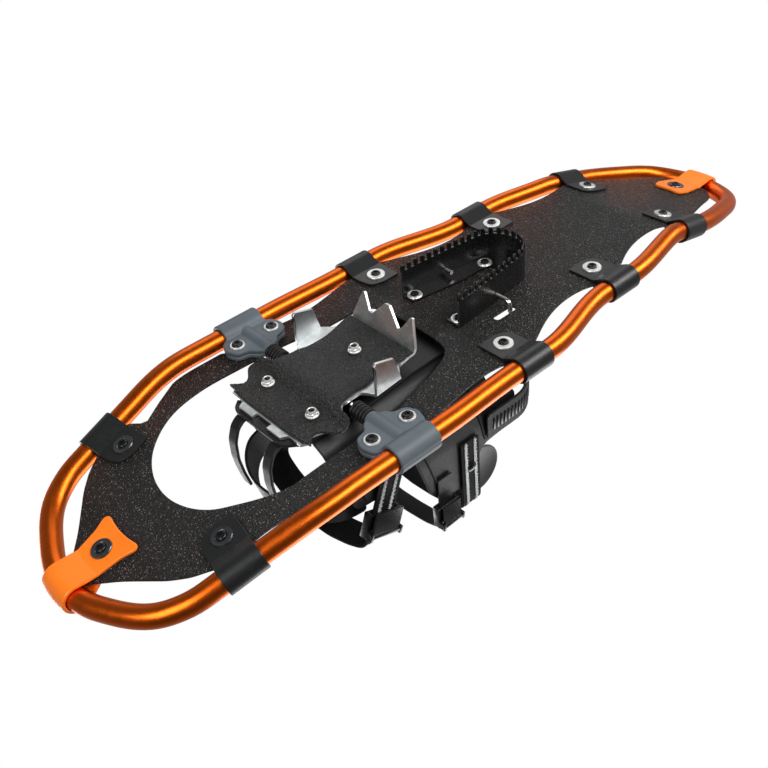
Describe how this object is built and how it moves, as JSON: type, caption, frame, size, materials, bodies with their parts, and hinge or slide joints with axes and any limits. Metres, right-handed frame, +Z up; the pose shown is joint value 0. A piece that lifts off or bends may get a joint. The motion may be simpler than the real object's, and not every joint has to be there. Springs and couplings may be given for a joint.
{
  "type": "snowshoe",
  "caption": "Tube-framed snowshoe with a hung deck, pivoting crampon binding, strap harness, buckles with swinging levers and a folding wire heel lifter.",
  "frame": {"origin": "on the ground, midway between nose and tail", "axes": "+Y towards the nose, +X towards the buckle side, +Z up"},
  "size_m": [0.2338, 0.7514, 0.203],
  "materials": {
    "frame_tube": "orange anodised, satin",
    "tube_joiner": "plain",
    "deck": "black coated deck sheet, pebbled",
    "nose_strap": "orange soft plastic",
    "nose_strap_screw": "black oxide steel",
    "tail_strap": "orange soft plastic",
    "tail_end_strap_screw": "nickel plated steel",
    "pivot_rod": "plain steel rod",
    "rod_sleeve_left": "black ribbed sleeve",
    "rod_sleeve_right": "black ribbed sleeve",
    "heel_crampon": "gloss black coated steel",
    "front_side_strap_left": "black soft plastic",
    "front_side_strap_right": "black soft plastic",
    "middle_side_strap_left": "black soft plastic",
    "middle_side_strap_right": "black soft plastic",
    "rear_side_strap_left": "black soft plastic",
    "rear_side_strap_right": "black soft plastic",
    "tail_side_strap_left": "black soft plastic",
    "tail_side_strap_right": "black soft plastic",
    "front_strap_screw_left": "black oxide steel",
    "front_strap_screw_right": "black oxide steel",
    "middle_strap_screw_left": "nickel plated steel",
    "middle_strap_screw_right": "nickel plated steel",
    "rear_strap_screw_left": "nickel plated steel",
    "rear_strap_screw_right": "nickel plated steel",
    "tail_strap_screw_left": "nickel plated steel",
    "tail_strap_screw_right": "nickel plated steel",
    "clamp_lower_left": "slate grey nylon, satin",
    "clamp_lower_right": "slate grey nylon, satin",
    "clamp_upper_left": "slate grey nylon, satin",
    "clamp_upper_right": "slate grey nylon, satin",
    "clamp_screw_front_left": "nickel plated steel",
    "clamp_screw_front_right": "nickel plated steel",
    "clamp_screw_rear_left": "nickel plated steel",
    "clamp_screw_rear_right": "nickel plated steel",
    "heel_screw_front_left": "nickel plated steel",
    "heel_screw_front_right": "nickel plated steel",
    "heel_screw_rear_left": "nickel plated steel",
    "heel_screw_rear_right": "nickel plated steel",
    "heel_lifter": "nickel plated wire",
    "toe_crampon": "tumbled",
    "grip_pad": "coarse black grip sheet",
    "crampon_bolt_rear": "nickel plated steel",
    "crampon_bolt_front_left": "nickel plated steel",
    "crampon_bolt_front_right": "nickel plated steel",
    "foot_plate": "black",
    "harness_panel_left": "black",
    "harness_panel_right": "black",
    "toe_strap": "black",
    "toe_link_left": "black",
    "toe_link_right": "black",
    "forefoot_strap": "black webbing with two pale stripes",
    "instep_strap": "black webbing with two pale stripes",
    "ankle_strap": "black",
    "heel_strap": "black",
    "forefoot_buckle": "black",
    "ankle_buckle": "black",
    "pull_tab": "grey satin",
    "forefoot_lever": "black",
    "ankle_lever": "black"
  },
  "bodies": {
    "root": {"frame_tube": "frame_tube", "tube_joiner": "tube_joiner", "deck": "deck", "nose_strap": "nose_strap", "nose_strap_screw": "nose_strap_screw", "tail_strap": "tail_strap", "tail_end_strap_screw": "tail_end_strap_screw", "pivot_rod": "pivot_rod", "rod_sleeve_left": "rod_sleeve_left", "rod_sleeve_right": "rod_sleeve_right", "heel_crampon": "heel_crampon", "front_side_strap_left": "front_side_strap_left", "front_side_strap_right": "front_side_strap_right", "middle_side_strap_left": "middle_side_strap_left", "middle_side_strap_right": "middle_side_strap_right", "rear_side_strap_left": "rear_side_strap_left", "rear_side_strap_right": "rear_side_strap_right", "tail_side_strap_left": "tail_side_strap_left", "tail_side_strap_right": "tail_side_strap_right", "front_strap_screw_left": "front_strap_screw_left", "front_strap_screw_right": "front_strap_screw_right", "middle_strap_screw_left": "middle_strap_screw_left", "middle_strap_screw_right": "middle_strap_screw_right", "rear_strap_screw_left": "rear_strap_screw_left", "rear_strap_screw_right": "rear_strap_screw_right", "tail_strap_screw_left": "tail_strap_screw_left", "tail_strap_screw_right": "tail_strap_screw_right", "clamp_lower_left": "clamp_lower_left", "clamp_lower_right": "clamp_lower_right", "clamp_upper_left": "clamp_upper_left", "clamp_upper_right": "clamp_upper_right", "clamp_screw_front_left": "clamp_screw_front_left", "clamp_screw_front_right": "clamp_screw_front_right", "clamp_screw_rear_left": "clamp_screw_rear_left", "clamp_screw_rear_right": "clamp_screw_rear_right", "heel_screw_front_left": "heel_screw_front_left", "heel_screw_front_right": "heel_screw_front_right", "heel_screw_rear_left": "heel_screw_rear_left", "heel_screw_rear_right": "heel_screw_rear_right"},
    "lifter": {"heel_lifter": "heel_lifter"},
    "binding": {"toe_crampon": "toe_crampon", "grip_pad": "grip_pad", "crampon_bolt_rear": "crampon_bolt_rear", "crampon_bolt_front_left": "crampon_bolt_front_left", "crampon_bolt_front_right": "crampon_bolt_front_right", "foot_plate": "foot_plate", "harness_panel_left": "harness_panel_left", "harness_panel_right": "harness_panel_right", "toe_strap": "toe_strap", "toe_link_left": "toe_link_left", "toe_link_right": "toe_link_right", "forefoot_strap": "forefoot_strap", "instep_strap": "instep_strap", "ankle_strap": "ankle_strap", "heel_strap": "heel_strap", "forefoot_buckle": "forefoot_buckle", "ankle_buckle": "ankle_buckle", "pull_tab": "pull_tab"},
    "forefoot_lever": {"forefoot_lever": "forefoot_lever"},
    "ankle_lever": {"ankle_lever": "ankle_lever"}
  },
  "joints": [
    {"name": "binding_pivot", "type": "hinge", "parent": "root", "child": "binding", "pos_m": [0, 0.136, 0.034], "axis": [-1, 0, 0], "range_deg": [0, 60]},
    {"name": "heel_lifter", "type": "hinge", "parent": "root", "child": "lifter", "pos_m": [0, -0.029, 0.024], "axis": [-1, 0, 0], "range_deg": [0, 95]},
    {"name": "forefoot_lever", "type": "hinge", "parent": "binding", "child": "forefoot_lever", "pos_m": [0.0739, 0.1458, 0.1385], "axis": [0, -0.9285, 0.3714], "range_deg": [0, 75]},
    {"name": "ankle_lever", "type": "hinge", "parent": "binding", "child": "ankle_lever", "pos_m": [0.0739, 0.074, 0.1806], "axis": [0, -1, 0], "range_deg": [0, 75]}
  ]
}
